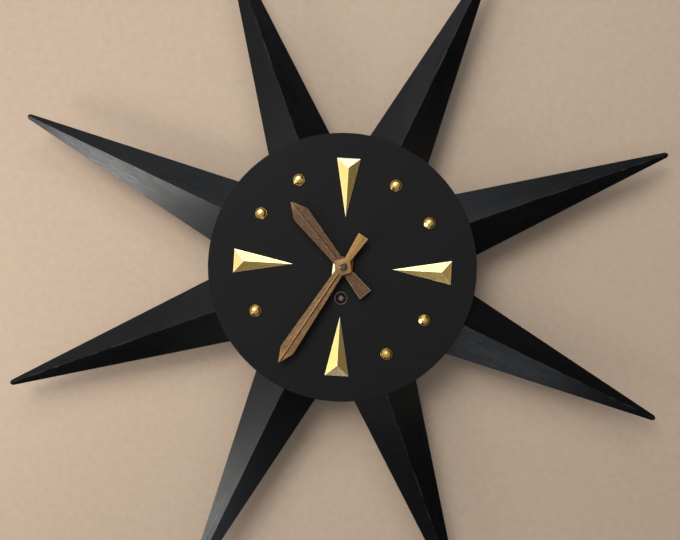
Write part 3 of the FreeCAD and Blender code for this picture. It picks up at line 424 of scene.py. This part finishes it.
def turned_metal(name, pale, dark, centre, rough_low=0.2, rough_high=0.36):
    """Metal with the fine rings that a lathe leaves round its own arbor."""
    t = Tree(name)
    here = t.place(0.0, (1.0, 0.0, 1.0), (-centre[0], 0.0, -centre[1]))
    length = t.tree.nodes.new("ShaderNodeVectorMath")
    length.operation = "LENGTH"
    t.link(here, length.inputs[0])
    join = t.tree.nodes.new("ShaderNodeCombineXYZ")
    t.link(length.outputs["Value"], join.inputs[0])
    rings = t.noise(join.outputs[0], 5200.0, 2.0)
    cloud = t.noise(t.place(), 80.0, 4.0)
    base = t.mix(cloud, rgb(*dark), rgb(*pale))
    base = t.mix(t.span(rings, 0.55, 0.75, 0.0, 0.25), base, shade(dark, 0.6))
    rough = t.span(rings, 0.3, 0.7, rough_low, rough_high)
    bump = t.bump(rings, 0.03 * MM, 0.6)
    t.set(Base_Color=base, Metallic=1.0, Roughness=rough, Normal=bump)
    return t.material


def stained_wood(name, pale, dark):
    """Wood with its rings and pores running up the clock."""
    t = Tree(name)
    along = t.place(0.0, (1.0, 1.0, 0.08))
    rings = t.noise(along, 150.0, 4.0, 0.55, 1.6)
    grain = t.noise(along, 1100.0, 4.0, 0.65)
    pores = t.span(t.noise(t.place(0.0, (1.0, 1.0, 0.05)), 2200.0, 2.0), 0.60, 0.68)
    base = t.mix(t.span(rings, 0.38, 0.62), rgb(*dark), rgb(*pale))
    base = t.mix(t.span(grain, 0.4, 0.65, 0.0, 0.4), base, shade(dark, 0.6))
    base = t.mix(t.times(pores, 0.6), base, shade(dark, 0.35))
    rough = t.span(grain, 0.3, 0.7, 0.54, 0.72)
    t.set(Base_Color=base, Roughness=rough, Normal=t.bump(grain, 0.12 * MM, 0.7))
    return t.material


def wrinkle_black():
    """Black wrinkle paint, rubbed grey in places."""
    t = Tree("cover_black")
    here = t.place()
    skin = t.noise(here, 620.0, 3.0, 0.6, 1.2)
    broad = t.noise(here, 22.0, 4.0)
    rub = t.span(t.noise(here, 85.0, 5.0), 0.60, 0.74)
    base = t.mix(broad, rgb(0.013, 0.013, 0.014), rgb(0.024, 0.024, 0.025))
    base = t.mix(t.times(rub, 0.3), base, rgb(0.07, 0.068, 0.064))
    rough = t.span(skin, 0.3, 0.7, 0.5, 0.66)
    t.set(Base_Color=base, Roughness=rough, Normal=t.bump(skin, 0.2 * MM, 0.7))
    return t.material


def blued_steel():
    t = Tree("blued_spring")
    cloud = t.noise(t.place(), 260.0, 3.0)
    marks = t.noise(t.place(), 1800.0, 3.0)
    base = t.mix(cloud, rgb(0.05, 0.075, 0.22), rgb(0.11, 0.12, 0.24))
    rough = t.span(marks, 0.3, 0.7, 0.2, 0.32)
    bump = t.bump(marks, 0.02 * MM, 0.5)
    t.set(Base_Color=base, Metallic=1.0, Roughness=rough, Normal=bump)
    return t.material


# -------------------------------------------------------------- the object


def finish_node(name, material, bevel=0.0, segments=2, angle=24.0):
    """Gives a CAD node its material, and softens the edges that turn by more than the angle."""
    thing = nodes[name]
    thing.data.materials.clear()
    thing.data.materials.append(material)
    if bevel:
        edge = thing.modifiers.new("soft_edges", "BEVEL")
        edge.width = bevel
        edge.segments = segments
        edge.limit_method = "ANGLE"
        edge.angle_limit = math.radians(angle)
        edge.use_clamp_overlap = True


def finish_all(names, material, bevel=0.0):
    for name in names:
        finish_node(name, material, bevel)


def middle(name):
    """The middle of a node's box, across and up."""
    low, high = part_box(name)
    return ((low.x + high.x) / 2, (low.z + high.z) / 2)


def dress_face():
    finish_node("dial", dial_black(), 0.12 * MM)
    eyelet = metal("eyelet_bronze", (0.20, 0.15, 0.14), (0.09, 0.055, 0.05), 0.28, 0.42)
    finish_node("winding_eyelet", eyelet, 0.12 * MM)
    for name in MARKER_TURNS:
        finish_node(name, marker_brass(name), 0.3 * MM, 2, 12.0)
    finish_node("hour_dots", dot_brass(), 0.2 * MM, 2, 12.0)
    finish_node("hour_hand", hand_bronze("hour", HOUR_HAND), 0.25 * MM)
    finish_node("minute_hand", hand_bronze("minute", MINUTE_HAND), 0.25 * MM)
    axis = (0.0, 0.0)
    nut = turned_metal("nut_bronze", (0.24, 0.18, 0.15), (0.11, 0.072, 0.052), axis, 0.28, 0.40)
    finish_node("hand_nut", nut, 0.2 * MM)
    collet = turned_metal("collet_brass", (0.97, 0.80, 0.42), (0.84, 0.63, 0.27), axis, 0.12, 0.22)
    finish_node("hour_collet", collet, 0.12 * MM)


def dress_rays():
    for number in range(RAY_COUNT):
        turn = FIRST_RAY + 360.0 / RAY_COUNT * number
        finish_node("ray_%d" % (number + 1), ray_black(turn), 0.45 * MM, 3)


def dress_case():
    hub_wood = stained_wood("hub_wood", (0.10, 0.066, 0.042), (0.045, 0.029, 0.019))
    finish_node("hub", hub_wood, 0.4 * MM)
    dowel_wood = stained_wood("dowel_wood", (0.52, 0.36, 0.20), (0.36, 0.23, 0.12))
    finish_node("ray_dowels", dowel_wood)
    finish_node("back_cover", wrinkle_black(), 0.3 * MM)
    zinc = metal("zinc_steel", (0.62, 0.62, 0.60), (0.44, 0.44, 0.44), 0.26, 0.42)
    fasteners = ("ray_screws", "dial_feet", "dial_nuts", "cover_screws", "hanger_rivets",
                 "pillar_nuts", "movement_screws")
    finish_all(fasteners, zinc, 0.1 * MM)
    hanger = metal("hanger_steel", (0.55, 0.55, 0.54), (0.36, 0.36, 0.36), 0.3, 0.5,
                   900.0, (1.0, 1.0, 0.06))
    finish_node("hanger_plate", hanger, 0.1 * MM)


def dress_movement():
    plate = metal("plate_brass", (0.80, 0.62, 0.31), (0.70, 0.52, 0.24), 0.28, 0.38,
                  5200.0, (1.0, 1.0, 0.01))
    finish_all(("front_plate", "back_plate"), plate, 0.08 * MM)
    turned = metal("turned_brass", PALE_BRASS, DARK_BRASS, 0.2, 0.34)
    finish_all(("pillars", "movement_posts", "hairspring_stud"), turned)
    for name in ("barrel", "barrel_cap", "centre_wheel", "minute_wheel", "hour_wheel",
                 "second_wheel", "third_wheel", "fourth_wheel", "escape_wheel",
                 "balance_wheel", "cannon_pinion"):
        finish_node(name, turned_metal("brass_" + name, PALE_BRASS, DARK_BRASS, middle(name)))
    browned = metal("browned_steel", (0.13, 0.085, 0.08), (0.045, 0.022, 0.02), 0.34, 0.5)
    finish_node("ratchet_wheel", browned)
    arbor = metal("arbor_steel", (0.34, 0.26, 0.25), (0.18, 0.125, 0.12), 0.3, 0.42)
    finish_node("winding_arbor", arbor, 0.1 * MM)
    centre = turned_metal("steel_centre_arbor", (0.26, 0.22, 0.20), (0.13, 0.10, 0.09),
                          middle("centre_arbor"))
    finish_node("centre_arbor", centre)
    for name in ("balance_staff", "balance_cups"):
        steel = turned_metal("steel_" + name, (0.66, 0.64, 0.62), (0.45, 0.43, 0.42), middle(name))
        finish_node(name, steel)
    bright = metal("bright_steel", (0.68, 0.67, 0.66), (0.48, 0.47, 0.46), 0.2, 0.34)
    finish_all(("click", "pallet_lever", "regulator"), bright, 0.04 * MM)
    finish_all(("mainspring", "hairspring", "click_spring"), blued_steel())


# ------------------------------------------------------------------- stage


def backdrop():
    """A pale floor behind the clock, which casts no shadow and is clear from its back."""
    half, depth = 6.0, 0.8 * MM
    corners = [(x * half, depth, z * half) for x, z in ((-1, -1), (1, -1), (1, 1), (-1, 1))]
    mesh = bpy.data.meshes.new("floor")
    mesh.from_pydata(corners, [], [(0, 1, 2, 3)])
    floor = bpy.data.objects.new("floor", mesh)
    bpy.context.scene.collection.objects.link(floor)
    t = Tree("floor")
    tuft = t.noise(t.place(), 150.0, 3.0)
    t.set(Base_Color=t.mix(tuft, rgb(0.438, 0.328, 0.240), rgb(0.516, 0.392, 0.292)))
    t.set(Roughness=0.9, Normal=t.bump(tuft, 0.6 * MM, 0.25))
    clear = t.tree.nodes.new("ShaderNodeBsdfTransparent")
    geometry = t.tree.nodes.new("ShaderNodeNewGeometry")
    path = t.tree.nodes.new("ShaderNodeLightPath")
    both = t.tree.nodes.new("ShaderNodeMixShader")
    t.link(t.most(geometry.outputs["Backfacing"], path.outputs["Is Shadow Ray"]), both.inputs[0])
    t.link(t.shader.outputs["BSDF"], both.inputs[1])
    t.link(clear.outputs["BSDF"], both.inputs[2])
    t.link(both.outputs[0], t.out.inputs["Surface"])
    mesh.materials.append(t.material)


def sky_level(tree, direction, toward, low, high, to_low, to_high):
    """A brightness that grows evenly as the direction turns toward a given one."""
    along = tree.nodes.new("ShaderNodeVectorMath")
    along.operation = "DOT_PRODUCT"
    along.inputs[1].default_value = Vector(toward).normalized()
    tree.links.new(direction, along.inputs[0])
    span = tree.nodes.new("ShaderNodeMapRange")
    span.inputs["From Min"].default_value = low
    span.inputs["From Max"].default_value = high
    span.inputs["To Min"].default_value = to_low
    span.inputs["To Max"].default_value = to_high
    tree.links.new(along.outputs["Value"], span.inputs["Value"])
    return span.outputs["Result"]


def sky_sum(tree, first, second):
    total = tree.nodes.new("ShaderNodeMath")
    total.operation = "ADD"
    tree.links.new(first, total.inputs[0])
    tree.links.new(second, total.inputs[1])
    return total.outputs[0]


def room():
    """Soft daylight: brightest to the upper left, dim low down on the right."""
    world = bpy.data.worlds.new("room")
    world.use_nodes = True
    tree = world.node_tree
    direction = tree.nodes.new("ShaderNodeTexCoord").outputs["Generated"]
    window = sky_level(tree, direction, (-0.80, -0.30, 0.50), 0.1, 0.95, 0.012, 0.44)
    front = sky_level(tree, direction, (0.0, -1.0, 0.0), 0.38, 0.78, 0.0, 0.33)
    behind = sky_level(tree, direction, (0.0, 1.0, 0.0), 0.10, 0.60, 0.0, 0.50)
    back = tree.nodes["Background"]
    back.inputs["Color"].default_value = rgb(0.97, 0.98, 1.0)
    tree.links.new(sky_sum(tree, window, sky_sum(tree, front, behind)), back.inputs["Strength"])
    bpy.context.scene.world = world


def area(name, place, size, power, colour, aim=(0.0, 0.0, 0.0), spread=180.0):
    """A soft rectangular light, aimed at the middle of the clock's back if not told otherwise."""
    data = bpy.data.lights.new(name, "AREA")
    data.shape = "RECTANGLE"
    data.size, data.size_y = size
    data.energy = power
    data.color = colour
    data.spread = math.radians(spread)
    light = bpy.data.objects.new(name, data)
    light.location = place
    light.rotation_mode = "QUATERNION"
    light.rotation_quaternion = (Vector(aim) - Vector(place)).to_track_quat("-Z", "Y")
    bpy.context.scene.collection.objects.link(light)


def lights():
    """Three large lights in front, two small low ones, three cards for the brass, two behind."""
    warm, pale, cool = (1.0, 0.975, 0.94), (1.0, 0.99, 0.96), (0.95, 0.98, 1.0)
    sky, shadow = (0.84, 0.94, 1.0), (0.84, 0.92, 1.0)
    area("key", (-0.75, -1.55, 0.85), (0.9, 0.9), 18.5, warm)
    area("high_top", (-0.05, -1.00, 1.25), (1.2, 0.5), 6.8, sky)
    area("left_window", (-1.25, -0.98, -0.02), (0.8, 0.6), 1.35, warm)
    area("low_left", (-0.92, -0.45, -0.40), (0.34, 0.26), 1.0, pale, (-0.2, 0.0, 0.05), 80.0)
    area("low_front", (0.22, -0.39, -0.78), (0.25, 0.20), 0.42, shadow, (0.2, 0.0, -0.1))
    area("right_card", (1.04, -0.39, 0.02), (0.22, 0.20), 0.16, (1.0, 0.84, 0.64))
    area("top_card", (0.02, -0.31, 1.06), (0.18, 0.20), 0.14, cool)
    area("bottom_card", (0.0, -0.36, -1.00), (0.16, 0.18), 0.13, (1.0, 0.84, 0.66))
    area("back_high", (0.9, 1.4, 1.2), (1.2, 1.2), 45.0, cool)
    area("back_low", (-1.2, 1.3, -0.5), (1.2, 1.2), 25.0, warm)


def turned_toward(first, second, angle):
    """Two square directions, both turned by the angle, so that the first leans to the second."""
    along, across = math.cos(angle), math.sin(angle)
    return first * along + second * across, second * along - first * across


def camera():
    """Almost straight in front, with the clock's lean and a small tilt up and to the right."""
    lean, tilt, pan = math.radians(3.3), math.radians(0.855), math.radians(0.693)
    across, height, away = -12.1 * MM, -20.9 * MM, 560.0 * MM
    right = Vector((math.cos(lean), 0.0, math.sin(lean)))
    up = Vector((-math.sin(lean), 0.0, math.cos(lean)))
    ahead = Vector((0.0, 1.0, 0.0))
    spot = right * across + up * height - ahead * (DIAL_DEPTH + away)
    ahead, up = turned_toward(ahead, up, tilt)
    ahead, right = turned_toward(ahead, right, pan)
    data = bpy.data.cameras.new("camera")
    data.sensor_width = 36.0
    data.lens = 31.95
    data.shift_x = 0.0044
    data.shift_y = 0.0152
    eye = bpy.data.objects.new("camera", data)
    turn = Matrix((right, up, -ahead)).transposed()
    eye.matrix_world = Matrix.Translation(spot) @ turn.to_4x4()
    bpy.context.scene.collection.objects.link(eye)
    bpy.context.scene.camera = eye


dress_face()
dress_rays()
dress_case()
dress_movement()
backdrop()
room()
lights()
camera()
bpy.context.scene.view_settings.view_transform = "Standard"
